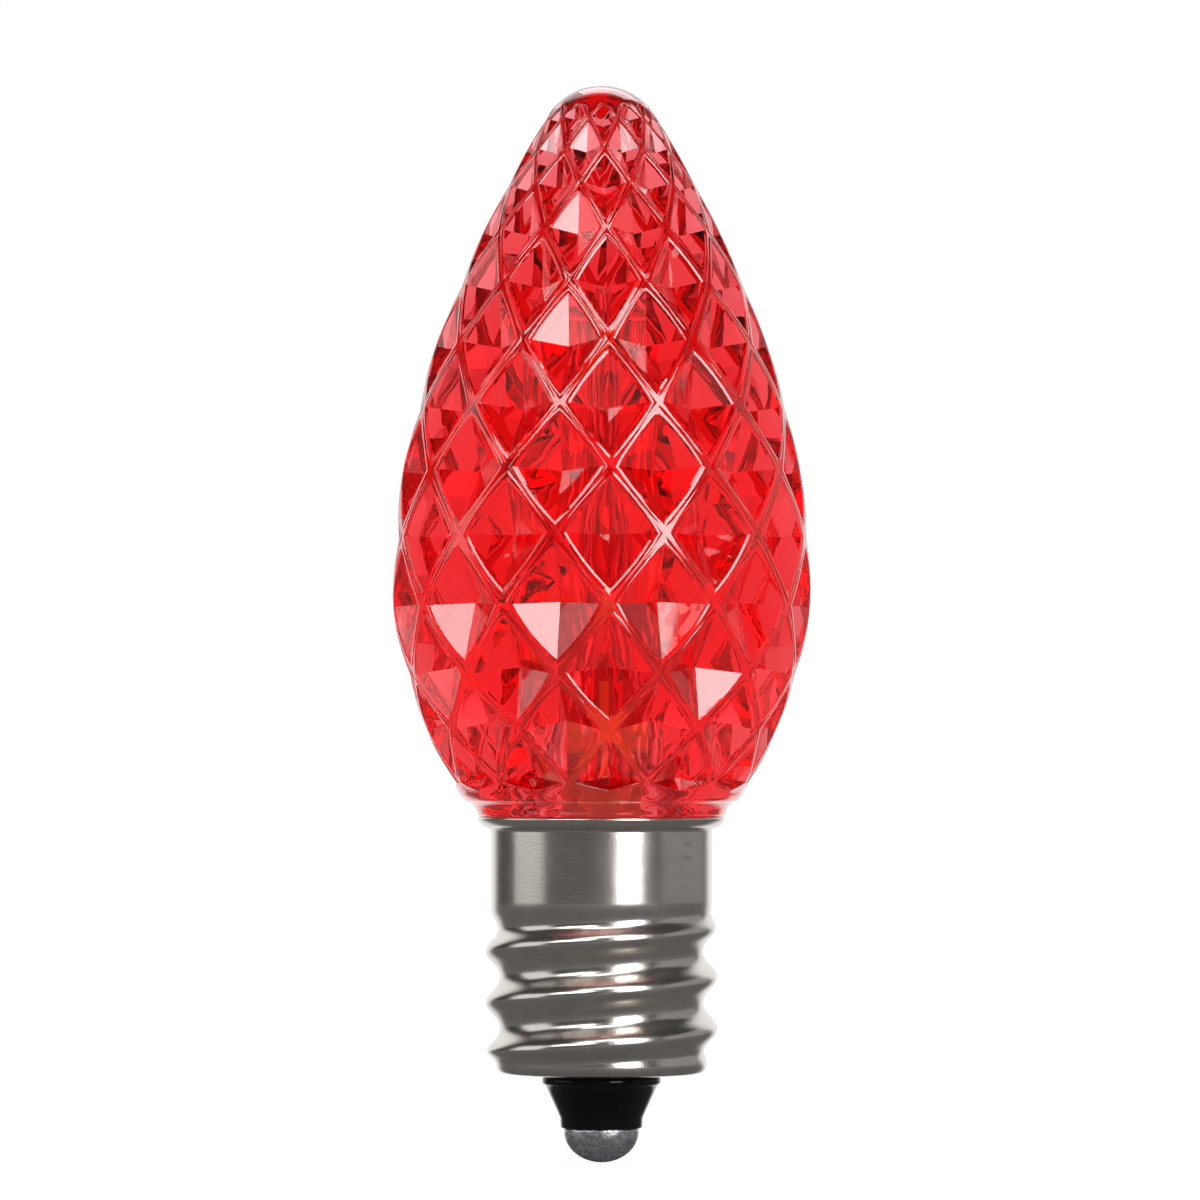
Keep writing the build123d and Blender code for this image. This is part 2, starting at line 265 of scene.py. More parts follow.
def first_ring(bm, radius, height, segments):
    """A level ring of edges around the axis."""
    verts = bmesh.ops.create_circle(bm, cap_ends=False, radius=radius, segments=segments)["verts"]
    set_ring(verts, radius, height)
    return list({edge for vert in verts for edge in vert.link_edges})


def carry_ring(bm, edges, radius, height):
    """Extrudes a ring of edges to another radius and height, and returns the new ring."""
    made = bmesh.ops.extrude_edge_only(bm, edges=edges)["geom"]
    verts = {part for part in made if isinstance(part, bmesh.types.BMVert)}
    set_ring(verts, radius, height)
    return [part for part in made if isinstance(part, bmesh.types.BMEdge) and set(part.verts) <= verts]


def carry_along(bm, edges, outline):
    """Carries a ring along an outline of radius and height."""
    for radius, height in outline:
        edges = carry_ring(bm, edges, radius, height)
    return edges


def close_pole(bm, edges, height):
    """Draws a ring together into one point on the axis."""
    verts = {vert for edge in carry_ring(bm, edges, MM, height) for vert in edge.verts}
    bmesh.ops.pointmerge(bm, verts=list(verts), merge_co=(0.0, 0.0, height))


def bowed(start, end, bulge, steps):
    """Points from a start, left out, to an end, on a curve whose middle stands off its chord."""
    chord = Vector(end) - Vector(start)
    side = Vector((chord.y, -chord.x)).normalized() * bulge
    shares = [step / steps for step in range(1, steps + 1)]
    return [tuple(Vector(start) + chord * share + side * 4 * share * (1 - share)) for share in shares]


def straight(start, end, steps):
    return bowed(start, end, 0.0, steps)


# Lens

NET_FOOT = 1.12 * MM
NET_TOP_GAP = 0.95 * MM
NET_STEPS = (0.45, 2.69, 2.72, 3.37, 3.46, 3.24, 3.14, 3.13, 2.94, 2.66, 2.25, 1.80, 1.60, 0.75)
SIDE_CUTS = 5
FLATTEN_ROUNDS = 6
SLOPE_STEP = 0.05 * MM
ROUND_SHARE = 0.85
ROUND_SEGMENTS = 3
BAND_SLOPE = 0.60
BAND_BULGE = 0.16 * MM
BAND_RINGS = 8
TIP_SLOPE = -0.62
TIP_RINGS = 8
SEAT_RADIUS = 6.13 * MM
SEAT_GAP = 0.02 * MM
SPIGOT_RADIUS = 5.095 * MM
SPIGOT_LENGTH = 3.3 * MM
BORE_END_RISE = 1.0 * MM
BORE_RINGS = 90
BORE_WANDER = 0.012
# Each wave's size, its count around the bore and its turn in radians over each millimetre of height
BORE_WAVES = ((1.0, 3, 0.9), (0.7, 5, -1.7), (0.5, 2, 3.1))
SATIN = "satin"


def lens_radius(s, height):
    """Radius of the lens outline at a height above its foot."""
    length = LENS_HIGH.z - SHELL_HIGH.z
    slant = hypot(1.0, TIP_SLOPE)
    tip = (s.tip_bend / slant, length - s.tip_bend * (1.0 + TIP_SLOPE / slant))
    if height > tip[1]:
        return sqrt(max(0.0, s.tip_bend**2 - (height - length + s.tip_bend) ** 2))
    belly = (s.belly_radius, s.belly_height)
    if height < s.belly_height:
        low, high, slopes = (s.band_radius, s.band_height), belly, (BAND_SLOPE, 0.0)
    else:
        low, high, slopes = belly, tip, (0.0, TIP_SLOPE)
    third = (high[1] - low[1]) / 3
    handles = (low[0], low[0] + slopes[0] * third, high[0] - slopes[1] * third, high[0])
    t = (height - low[1]) / (high[1] - low[1])
    weights = ((1 - t) ** 3, 3 * t * (1 - t) ** 2, 3 * t * t * (1 - t), t**3)
    return sum(weight * handle for weight, handle in zip(weights, handles))


def on_lens(s, turn, height):
    """Point of the lens outline at a turn from +X and a height above the lens foot."""
    radius = lens_radius(s, height)
    return Vector((radius * cos(turn), radius * sin(turn), SHELL_HIGH.z + height))


def drawn_to_lens(s, point):
    """A point moved level onto the lens outline."""
    return on_lens(s, atan2(point.y, point.x), point.z - SHELL_HIGH.z)


def outline_normal(s, point):
    """Outward normal of the lens outline under a point."""
    height = point.z - SHELL_HIGH.z
    rise = lens_radius(s, height + SLOPE_STEP) - lens_radius(s, height - SLOPE_STEP)
    slope = rise / (2 * SLOPE_STEP)
    return Vector((point.x, point.y, -slope * hypot(point.x, point.y))).normalized()


def net_levels():
    """Heights of the crossings of the net above the lens foot."""
    length = LENS_HIGH.z - SHELL_HIGH.z - NET_FOOT - NET_TOP_GAP
    levels = [NET_FOOT]
    for step in NET_STEPS:
        levels.append(levels[-1] + step * length / sum(NET_STEPS))
    return levels


def spin_net(bm, s, levels):
    """Spins the net with its diamonds, and returns the vertices at the middles of the diamonds."""
    half_step = pi / s.cells_around
    start = s.net_turn - pi / 2
    column = [bm.verts.new(on_lens(s, start, level)) for level in levels]
    edges = [bm.edges.new(pair) for pair in zip(column, column[1:])]
    bmesh.ops.spin(
        bm,
        geom=column + edges,
        axis=(0.0, 0.0, 1.0),
        angle=2 * pi,
        steps=2 * s.cells_around,
        use_merge=True,
    )
    crossings, middles = [], []
    for vert in bm.verts:
        misses = [abs(vert.co.z - SHELL_HIGH.z - level) for level in levels]
        row = misses.index(min(misses))
        step = round((atan2(vert.co.y, vert.co.x) - start) / half_step)
        if (step + row) % 2 == 0:
            crossings.append(vert)
        elif 0 < row < len(levels) - 1:
            middles.append(vert)
    bmesh.ops.connect_verts(bm, verts=crossings)
    return middles


def lens_net(bm, s, levels):
    """Diamonds of the net, each with the place of its middle and the inner radius of its corners."""
    middles = spin_net(bm, s, levels)
    places = [vert.co.copy() for vert in middles]
    bmesh.ops.dissolve_verts(bm, verts=middles)
    diamonds = []
    for face in [face for face in bm.faces if len(face.verts) == 4]:
        corners = sorted((vert.co.copy() for vert in face.verts), key=lambda co: co.z)
        centre = sum(corners, Vector()) / 4
        middle = min(places, key=lambda place: (place - centre).length)
        along = (corners[3] - corners[0]).length
        across = (corners[2] - corners[1]).length
        diamonds.append((face, middle, across * along / hypot(across, along) / 2))
    bmesh.ops.bisect_edges(bm, edges=bm.edges, cuts=SIDE_CUTS)
    for vert in bm.verts:
        vert.co = drawn_to_lens(s, vert.co)
    return diamonds


def rim_corners(rim, middle):
    """The four corners of a rim, in order: those that reach lowest, highest, furthest left and right."""
    upright = Vector((0.0, 0.0, 1.0))
    sideways = upright.cross(middle).normalized()
    low = min(rim, key=lambda vert: vert.co.dot(upright))
    high = max(rim, key=lambda vert: vert.co.dot(upright))
    left = min(rim, key=lambda vert: vert.co.dot(sideways))
    right = max(rim, key=lambda vert: vert.co.dot(sideways))
    return sorted((low, high, left, right), key=rim.index)


def pit_normal(corners, middle):
    """Outward normal of the diamond through four corners."""
    first, second, third, fourth = (corner.co for corner in corners)
    normal = (third - first).cross(fourth - second).normalized()
    return normal if normal.dot(middle.xy.to_3d()) > 0 else -normal


def flatten_side(s, side, apex):
    """Slides the inner vertices of one side of a rim, on the lens outline, into the plane of its facet."""
    facet = (side[0].co - apex).cross(side[-1].co - apex).normalized()
    for vert in side[1:-1]:
        for _ in range(FLATTEN_ROUNDS):
            miss = (vert.co - apex).dot(facet)
            normal = outline_normal(s, vert.co)
            slide = (facet - normal * facet.dot(normal)).normalized()
            vert.co = drawn_to_lens(s, vert.co - slide * (miss / slide.dot(facet)))


def sink_pit(bm, s, face, middle, inner_radius):
    """Cuts one diamond down to four flat facets, and returns the edges of its rim."""
    rib = inner_radius * s.rib_share
    bmesh.ops.inset_individual(bm, faces=[face], thickness=rib, use_even_offset=True)
    rim = list(face.verts)
    for vert in rim:
        vert.co = drawn_to_lens(s, vert.co)
    corners = rim_corners(rim, middle)
    apex = bmesh.ops.poke(bm, faces=[face])["verts"][0]
    apex.co = middle - pit_normal(corners, middle) * inner_radius * s.pit_slope
    starts = [rim.index(corner) for corner in corners]
    for start, end in zip(starts, starts[1:] + [starts[0] + len(rim)]):
        side = [rim[index % len(rim)] for index in range(start, end + 1)]
        flatten_side(s, side, apex.co)
    spokes = [edge for edge in apex.link_edges if edge.other_vert(apex) not in corners]
    bmesh.ops.dissolve_edges(bm, edges=spokes, use_verts=False)
    for facet in apex.link_faces:
        facet.smooth = False
    return [bm.edges.get(pair) for pair in zip(rim, rim[1:] + rim[:1])]


def round_rims(bm, rims):
    """Rounds each rim to its own width, on a mesh enlarged meanwhile because the widths are so small."""
    rounds = set()
    bmesh.ops.scale(bm, vec=(1 / MM,) * 3, verts=bm.verts)
    for edges, width in rims:
        made = bmesh.ops.bevel(
            bm,
            geom=edges,
            offset=width / MM,
            offset_type="OFFSET",
            segments=ROUND_SEGMENTS,
            profile=0.5,
            affect="EDGES",
            material=-1,
            clamp_overlap=True,
        )
        rounds.update(made["faces"])
    bmesh.ops.scale(bm, vec=(MM,) * 3, verts=bm.verts)
    return rounds


def open_ring(bm, highest):
    """The highest or the lowest ring of open edges."""
    rims = [edge for edge in bm.edges if edge.is_boundary]
    heights = [edge.verts[0].co.z for edge in rims]
    edge_height = max(heights) if highest else min(heights)
    return [edge for edge in rims if abs(edge.verts[0].co.z - edge_height) < NET_TOP_GAP / 2]


def wavy(radius):
    """A bore radius that wanders a little, as left by a hand-polished core pin."""

    def at(turn, height):
        wave = sum(size * sin(around * turn + along * height / MM) for size, around, along in BORE_WAVES)
        return radius * (1 + BORE_WANDER * wave)

    return at


def lens_mesh(s):
    bm = bmesh.new()
    levels = net_levels()
    diamonds = lens_net(bm, s, levels)
    rib_middles = [vert for vert in bm.verts if not vert.is_boundary]
    smooth_all(bm)
    rims = []
    for diamond in diamonds:
        half_rib = s.rib_share * diamond[-1]
        rims.append((sink_pit(bm, s, *diamond), min(s.edge_round, ROUND_SHARE * half_rib)))
    for vert in rib_middles:
        vert.co -= outline_normal(s, vert.co) * s.rib_groove
    rounds = round_rims(bm, rims)
    rib_tops = {face for face in bm.faces if face.smooth and face not in rounds}

    foot, length = SHELL_HIGH.z, LENS_HIGH.z - SHELL_HIGH.z
    top = levels[-1]
    tip = [top + (length - top) * sin(pi / 2 * step / TIP_RINGS) for step in range(1, TIP_RINGS)]
    rings = [(lens_radius(s, height), foot + height) for height in tip]
    close_pole(bm, carry_along(bm, open_ring(bm, True), rings), LENS_HIGH.z)

    band = [(s.band_radius, foot + s.band_height)]
    band += bowed(band[0], (SEAT_RADIUS, foot + SEAT_GAP), BAND_BULGE, BAND_RINGS)
    spigot_foot = foot - SPIGOT_LENGTH
    bore_top = spigot_foot + s.bore_length
    inside = [(SPIGOT_RADIUS, foot + SEAT_GAP), (SPIGOT_RADIUS, spigot_foot), (s.bore_mouth, spigot_foot)]
    bore = straight(inside[-1], (s.bore_end, bore_top - BORE_END_RISE), BORE_RINGS)
    inside += [(wavy(radius), height) for radius, height in bore]
    close_pole(bm, carry_along(bm, open_ring(bm, False), band + inside), bore_top)

    satin = bm.faces.layers.float.new(SATIN)
    for face in bm.faces:
        face[satin] = 1.0 if face in rib_tops else 0.0
    return bm


# Screw shell

SHELL_SEGMENTS = 192
RING_STEP = 0.1 * MM
HOLE_RADIUS = 2.45 * MM
DISH_RADIUS = 3.03 * MM
DISH_RISE = 0.14 * MM
SHELL_CORNER = 0.45 * MM
CORNER_BULGE = 0.13 * MM
CORNER_RINGS = 8
FOOT_WALL_RADIUS = 5.2 * MM
FLARE_FOOT = 16.46 * MM
FLARE_BULGE = 0.09 * MM
FLARE_RINGS = 8
MOUTH_RADIUS = 6.13 * MM
MOUTH_EDGE = 0.15 * MM
MOUTH_BULGE = 0.04 * MM
MOUTH_RINGS = 4
MOUTH_FUNNEL = (5.425 * MM, 16.66 * MM)
CREST_AT_X = 6.62 * MM
CREST_SHARPNESS = 1.3
RUN_IN = 0.8 * MM
RUN_OUT = 1.75 * MM
DIMPLES = ((radians(-39.4), 15.62 * MM), (radians(-39.0), 14.93 * MM))
DIMPLE_RADIUS = 0.2 * MM
DIMPLE_DEPTH = 0.014 * MM


def ease(share):
    """Smooth step from 0 to 1."""
    share = max(0.0, min(1.0, share))
    return share * share * (3 - 2 * share)


def thread_radius(s, turn, height):
    """Outer radius of the rolled sleeve, whose thread fades out at both ends."""
    foot = SHELL_LOW.z + DISH_RISE + SHELL_CORNER
    along = (height - foot) / (s.collar_foot - foot)
    plain = FOOT_WALL_RADIUS + (s.collar_radius - FOOT_WALL_RADIUS) * along
    phase = 2 * pi * (height - CREST_AT_X) / s.thread_pitch - turn
    wave = (0.5 + 0.5 * cos(phase)) ** CREST_SHARPNESS
    depth = ease((height - foot) / RUN_IN) * ease((s.collar_foot - height) / RUN_OUT)
    threaded = s.root_radius + (s.crest_radius - s.root_radius) * wave
    return plain + (threaded - plain) * depth


def collar_radius(s, turn, height):
    """Outer radius of the collar, with the two dimples that were punched into it."""
    dent = 0.0
    for dimple_turn, dimple_height in DIMPLES:
        away = hypot((turn - dimple_turn) * s.collar_radius, height - dimple_height) / DIMPLE_RADIUS
        dent += DIMPLE_DEPTH * exp(-away * away)
    return s.collar_radius - dent


def ring_heights(low, high):
    """Heights of closely spaced rings above a low end, up to and with the high end."""
    rings = round((high - low) / RING_STEP)
    return [low + (high - low) * ring / rings for ring in range(1, rings + 1)]


def shell_mesh(s):
    bm = bmesh.new()
    low, foot = SHELL_LOW.z, SHELL_LOW.z + DISH_RISE
    wall_foot = foot + SHELL_CORNER
    corner = (FOOT_WALL_RADIUS - SHELL_CORNER, foot)
    sleeve = ring_heights(wall_foot, s.collar_foot)
    collar = ring_heights(s.collar_foot, FLARE_FOOT)
    lip = (MOUTH_RADIUS, SHELL_HIGH.z - MOUTH_EDGE)
    inside = s.collar_radius - s.sheet

    start = first_ring(bm, HOLE_RADIUS, low, SHELL_SEGMENTS)
    outline = [(DISH_RADIUS, low), corner]
    outline += bowed(corner, (FOOT_WALL_RADIUS, wall_foot), CORNER_BULGE, CORNER_RINGS)
    outline += [(lambda turn, height: thread_radius(s, turn, height), height) for height in sleeve]
    outline += [(lambda turn, height: collar_radius(s, turn, height), height) for height in collar]
    outline += bowed((s.collar_radius, FLARE_FOOT), lip, FLARE_BULGE, FLARE_RINGS)
    outline += bowed(lip, (MOUTH_RADIUS - MOUTH_EDGE, SHELL_HIGH.z), MOUTH_BULGE, MOUTH_RINGS)
    outline += [(MOUTH_FUNNEL[0], SHELL_HIGH.z), (inside, MOUTH_FUNNEL[1]), (inside, s.collar_foot)]
    outline += [
        (lambda turn, height: thread_radius(s, turn, height) - s.sheet, height) for height in sleeve[-2::-1]
    ]
    outline += [(FOOT_WALL_RADIUS - s.sheet, wall_foot), (corner[0], foot + s.sheet)]
    outline += [(DISH_RADIUS, low + s.sheet), (HOLE_RADIUS, low + s.sheet), (HOLE_RADIUS, low)]
    carry_along(bm, start, outline)
    smooth_all(bm)
    return bm


# Insulator and centre contact

TURNED_SEGMENTS = 96
CONE_SMALL_RADIUS = 2.02 * MM
CONE_LARGE_RADIUS = 2.78 * MM
CONE_SIDE = 0.5 * MM
CONE_DRAFT = 0.02 * MM
CONE_EDGE = 0.06 * MM
CONE_EDGE_BULGE = 0.02 * MM
CONE_EDGE_RINGS = 3
CONE_RINGS = 4
LIP_RADIUS = 2.93 * MM
LIP_THICKNESS = 0.4 * MM
LIP_ROUND = 0.13 * MM
LIP_BULGE = 0.035 * MM
LIP_RINGS = 4
NECK_RADIUS = 2.37 * MM
FLANGE_RADIUS = 4.1 * MM
FLANGE_DISH = 0.087 * MM
FLANGE_TOP = 5.74 * MM
STEM_RADIUS = 0.95 * MM
STEM_HOLE_RADIUS = 0.98 * MM
LEAD_HOLE_RADIUS = 0.45 * MM
CONTACT_RADIUS = 1.86 * MM
CONTACT_HEIGHT = 1.71 * MM
CONTACT_SIDE = 0.14 * MM
DOME_RINGS = 16


def insulator_mesh(s):
    bm = bmesh.new()
    lip_top = SHELL_LOW.z
    lip_foot = lip_top - LIP_THICKNESS
    floor = lip_top + s.sheet
    stem_top = DOME_HIGH.z
    foot_edge = (CONE_SMALL_RADIUS - CONE_EDGE, CONTACT_HEIGHT)
    side_foot = (CONE_SMALL_RADIUS, CONTACT_HEIGHT + CONE_EDGE)
    waist = (CONE_SMALL_RADIUS + CONE_DRAFT, CONTACT_HEIGHT + CONE_SIDE)
    cone_top = (CONE_LARGE_RADIUS, lip_foot)
    lip_side = (LIP_RADIUS, lip_top - LIP_ROUND)

    start = first_ring(bm, STEM_HOLE_RADIUS, CONTACT_HEIGHT, TURNED_SEGMENTS)
    outline = [foot_edge]
    outline += bowed(foot_edge, side_foot, CONE_EDGE_BULGE, CONE_EDGE_RINGS)
    outline += [waist]
    outline += straight(waist, cone_top, CONE_RINGS)
    outline += bowed(cone_top, (LIP_RADIUS, lip_foot + LIP_ROUND), LIP_BULGE, LIP_RINGS)
    outline += [lip_side]
    outline += bowed(lip_side, (LIP_RADIUS - LIP_ROUND, lip_top), LIP_BULGE, LIP_RINGS)
    outline += [(NECK_RADIUS, lip_top), (NECK_RADIUS, floor), (DISH_RADIUS, floor)]
    outline += [(FLANGE_RADIUS, floor + FLANGE_DISH), (FLANGE_RADIUS, FLANGE_TOP)]
    outline += [(LEAD_HOLE_RADIUS, FLANGE_TOP), (LEAD_HOLE_RADIUS, stem_top)]
    outline += [(STEM_HOLE_RADIUS, stem_top), (STEM_HOLE_RADIUS, CONTACT_HEIGHT)]
    carry_along(bm, start, outline)
    smooth_all(bm)
    return bm


def contact_mesh():
    bm = bmesh.new()
    side_foot = CONTACT_HEIGHT - CONTACT_SIDE
    turns = [pi / 2 * step / DOME_RINGS for step in range(1, DOME_RINGS + 1)]
    dome = [(CONTACT_RADIUS * sin(turn), side_foot - side_foot * cos(turn)) for turn in turns]
    start = first_ring(bm, *dome[0], TURNED_SEGMENTS)
    outline = dome[1:] + [(CONTACT_RADIUS, CONTACT_HEIGHT), (STEM_RADIUS, CONTACT_HEIGHT)]
    outline += [(STEM_RADIUS, DOME_HIGH.z)]
    close_pole(bm, carry_along(bm, start, outline), DOME_HIGH.z)
    close_pole(bm, start, 0.0)
    smooth_all(bm)
    return bm


# Materials

NOISE_MIDDLE = (0.3, 0.7)
LENS_GRAIN = 700.0
LENS_SKIN_GRAIN = 450.0
LENS_POLISH = 0.02
LENS_COAT_IOR = 1.7
LENS_SKIN_DEPTH = 0.06 * MM
# A painted orange glow in the lens's colour, centred over the top diode at the head of the bore.
PAINTED_GLOW_CENTRE = (0.0, 0.0, 41.0 * MM)
PAINTED_GLOW_ENDS = (2.0 * MM, 6.0 * MM)
PAINTED_GLOW_COLOUR = (1.0, 0.9, 0.15, 1.0)
PLATE_CLOUD = 900.0
PLATE_GRAIN = 9000.0
PLATE_ROUGHNESS = (0.20, 0.24)
PLATE_GRAIN_DEPTH = 0.004 * MM
MOULD_GRAIN = 2500.0
MOULD_GRAIN_DEPTH = 0.004 * MM
SOLDER_ROUGHNESS = (0.22, 0.4)
SCRATCH_GRAIN = 5000.0
SCRATCH_STRETCH = (1.0, 0.25, 1.0)
SCRATCH_DEPTH = 0.03 * MM


def add_node(tree, kind, inputs=(), **settings):
    """Adds a node with its settings. An input is a value, or the output socket that drives it."""
    node = tree.nodes.new(kind)
    for name, value in settings.items():
        setattr(node, name, value)
    for name, value in dict(inputs).items():
        if isinstance(value, bpy.types.NodeSocket):
            tree.links.new(value, node.inputs[name])
        else:
            node.inputs[name].default_value = value
    return node


def new_material(name):
    material = bpy.data.materials.new(name)
    material.use_nodes = True
    material.node_tree.nodes.clear()
    return material, material.node_tree


def noise(tree, scale, detail=3.0, stretch=(1.0, 1.0, 1.0)):
    """Noise fixed to the piece. Its scale is in grains over one metre."""
    place = add_node(tree, "ShaderNodeTexCoord").outputs["Object"]
    place = add_node(tree, "ShaderNodeMapping", {"Vector": place, "Scale": stretch}).outputs["Vector"]
    inputs = {"Vector": place, "Scale": scale, "Detail": detail}
    return add_node(tree, "ShaderNodeTexNoise", inputs).outputs["Fac"]


def ranged(tree, value, source, target, **settings):
    """Maps one range of a value onto another, and holds it at the ends."""
    inputs = {"Value": value, "From Min": source[0], "From Max": source[1]}
    inputs.update({"To Min": target[0], "To Max": target[1]})
    return add_node(tree, "ShaderNodeMapRange", inputs, **settings).outputs["Result"]


def spread(tree, grain, target):
    """Maps the middle of a noise onto a range."""
    return ranged(tree, grain, NOISE_MIDDLE, target)


def mottled(tree, colour, amount, grain):
    """A colour that a noise makes lighter and darker by an amount."""
    dark = tuple(part * (1 - amount) for part in colour) + (1.0,)
    light = tuple(min(1.0, part * (1 + amount)) for part in colour) + (1.0,)
    inputs = {0: spread(tree, grain, (0.0, 1.0)), 6: dark, 7: light}
    return add_node(tree, "ShaderNodeMix", inputs, data_type="RGBA").outputs[2]


def surface(tree, inputs, height=None, depth=0.0):
    """A Principled shader on the output, with a bump where a height is given."""
    inputs = dict(inputs)
    if height is not None:
        bump = add_node(tree, "ShaderNodeBump", {"Height": height, "Distance": depth, "Strength": 1.0})
        inputs["Normal"] = bump.outputs["Normal"]
    shader = add_node(tree, "ShaderNodeBsdfPrincipled", inputs)
    return add_node(tree, "ShaderNodeOutputMaterial", {"Surface": shader.outputs["BSDF"]})


def painted_diode_glow(tree, colour):
    """A colour that turns to orange around the head of the bore: a painted glow of the top diode."""
    place = add_node(tree, "ShaderNodeTexCoord").outputs["Object"]
    inputs = {0: place, 1: PAINTED_GLOW_CENTRE}
    away = add_node(tree, "ShaderNodeVectorMath", inputs, operation="DISTANCE").outputs["Value"]
    inputs = {0: ranged(tree, away, PAINTED_GLOW_ENDS, (1.0, 0.0)), 6: colour, 7: PAINTED_GLOW_COLOUR}
    return add_node(tree, "ShaderNodeMix", inputs, data_type="RGBA").outputs[2]


def clear_red(s):
    """Tinted clear plastic, satin on the tops of the ribs and polished in the pits, with a painted orange
    glow around the head of the bore.
    """
    material, tree = new_material("clear_red_plastic")
    colour = mottled(tree, (1.0, 0.97, 0.97), 0.02, noise(tree, LENS_GRAIN))
    rib_top = add_node(tree, "ShaderNodeAttribute", attribute_name=SATIN).outputs["Fac"]
    output = surface(
        tree,
        {
            # The base colour carries the painted glow of the top diode.
            "Base Color": painted_diode_glow(tree, colour),
            "Roughness": ranged(tree, rib_top, (0.0, 1.0), (LENS_POLISH, s.satin)),
            "IOR": s.ior,
            "Transmission Weight": 1.0,
            "Coat Weight": 1.0,
            "Coat Roughness": LENS_POLISH,
            "Coat IOR": LENS_COAT_IOR,
        },
        noise(tree, LENS_SKIN_GRAIN, 2.0),
        LENS_SKIN_DEPTH,
    )
    tint = tuple(s.tint) + (1.0,)
    volume = add_node(tree, "ShaderNodeVolumeAbsorption", {"Color": tint, "Density": s.density})
    tree.links.new(volume.outputs["Volume"], output.inputs["Volume"])
    return material


def plated(name, colour):
    """Satin metal plate with a fine grain."""
    material, tree = new_material(name)
    cloud = noise(tree, PLATE_CLOUD)
    surface(
        tree,
        {
            "Base Color": mottled(tree, tuple(colour), 0.05, cloud),
            "Metallic": 1.0,
            "Roughness": spread(tree, cloud, PLATE_ROUGHNESS),
        },
        noise(tree, PLATE_GRAIN, 4.0),
        PLATE_GRAIN_DEPTH,
    )
    return material


def moulded(name, colour, roughness, specular=0.35, glow=0.0):
    """A moulded plastic with a slight skin, which may be given a painted glow in its own colour."""
    material, tree = new_material(name)
    grain = noise(tree, MOULD_GRAIN)
    surface(
        tree,
        {
            "Base Color": mottled(tree, tuple(colour), 0.15, grain),
            "Roughness": spread(tree, grain, (roughness * 0.8, roughness * 1.2)),
            "Specular IOR Level": specular,
            "Emission Color": tuple(colour) + (1.0,),
            "Emission Strength": glow,
        },
        grain,
        MOULD_GRAIN_DEPTH,
    )
    return material


def solder(colour):
    """Dull metal with scratches that run along the Y axis."""
    material, tree = new_material("solder")
    scratches = noise(tree, SCRATCH_GRAIN, 5.0, SCRATCH_STRETCH)
    surface(
        tree,
        {
            "Base Color": mottled(tree, tuple(colour), 0.3, scratches),
            "Metallic": 1.0,
            "Roughness": spread(tree, scratches, SOLDER_ROUGHNESS),
        },
        scratches,
        SCRATCH_DEPTH,
    )
    return material


def dress(name, material):
    """Gives one material to a node of the frame."""
    shown = bpy.data.objects[name]
    shown.data.materials.clear()
    shown.data.materials.append(material)


# Stage: a studio with one bright wall behind the lamp. ROOM_IN_MIRROR and ROOM_IN_GLASS are the
# strengths of the rest of the room in reflections and through the clear plastic.

WALL_EDGE = (0.70, 0.90)
WALL_LEAN = 0.4
ROOM_IN_MIRROR = 0.04
ROOM_IN_GLASS = (0.25, 1.0)
CLUTTER_SCALE = 2.5
FLOOR_HALF = 6.0
FLOOR_GREY = 0.1
FLOOR_ROUGHNESS = 0.9
# Near the lamp the floor's fill is dimmed to FLOOR_FILL, and it rises to full between the two distances
# below: painted shade around the lamp's foot.
FLOOR_FILL = 0.9
PAINTED_SHADE_ENDS = (0.08, 0.4)
LAMP_DISTANCE = 0.45
LAMP_AIM = Vector((0.0, 0.0, 0.025))
RIGHT_SHARE = 0.3
CAMERA_AIM = Vector((-0.074 * MM, 0.0, 27.8 * MM))
SENSOR_WIDTH = 36.0
CLIP_START = 0.01


def choose(tree, factor, off, on):
    """One value where the factor is 0, and another where it is 1."""
    return add_node(tree, "ShaderNodeMix", {0: factor, 2: off, 3: on}, data_type="FLOAT").outputs[0]


def room_strength(tree, direction, room_light):
    """White for the camera and on the wall behind, which leans over the lamp. Elsewhere mirrors see a
    dim room, glass sees a patchy one, and dull surfaces are lit by the room light."""
    parts = add_node(tree, "ShaderNodeSeparateXYZ", {"Vector": direction}).outputs
    up = add_node(tree, "ShaderNodeMath", {0: parts["Z"], 1: 0.0}, operation="MAXIMUM").outputs[0]
    inputs = {0: up, 1: WALL_LEAN, 2: parts["Y"]}
    behind = add_node(tree, "ShaderNodeMath", inputs, operation="MULTIPLY_ADD").outputs[0]
    wall = ranged(tree, behind, WALL_EDGE, (0.0, 1.0), interpolation_type="SMOOTHSTEP")
    inputs = {"Vector": direction, "Scale": CLUTTER_SCALE, "Detail": 1.0}
    clutter = add_node(tree, "ShaderNodeTexNoise", inputs).outputs["Fac"]
    path = add_node(tree, "ShaderNodeLightPath").outputs
    patches = spread(tree, clutter, ROOM_IN_GLASS)
    side = choose(tree, path["Is Transmission Ray"], ROOM_IN_MIRROR, patches)
    seen = choose(tree, wall, side, 1.0)
    inputs = {0: path["Is Glossy Ray"], 1: path["Is Transmission Ray"]}
    sharp = add_node(tree, "ShaderNodeMath", inputs, operation="ADD", use_clamp=True).outputs[0]
    return choose(tree, path["Is Camera Ray"], choose(tree, sharp, room_light, seen), 1.0)


def floor_fill_with_painted_shade(tree, place, strength):
    """The strength of the room on the floor, a little less near the lamp as painted shade, where its shadow
    lies.
    """
    away = add_node(tree, "ShaderNodeVectorMath", {0: place}, operation="LENGTH").outputs["Value"]
    fill = ranged(tree, away, PAINTED_SHADE_ENDS, (FLOOR_FILL, 1.0))
    return add_node(tree, "ShaderNodeMath", {0: fill, 1: strength}, operation="MULTIPLY").outputs[0]


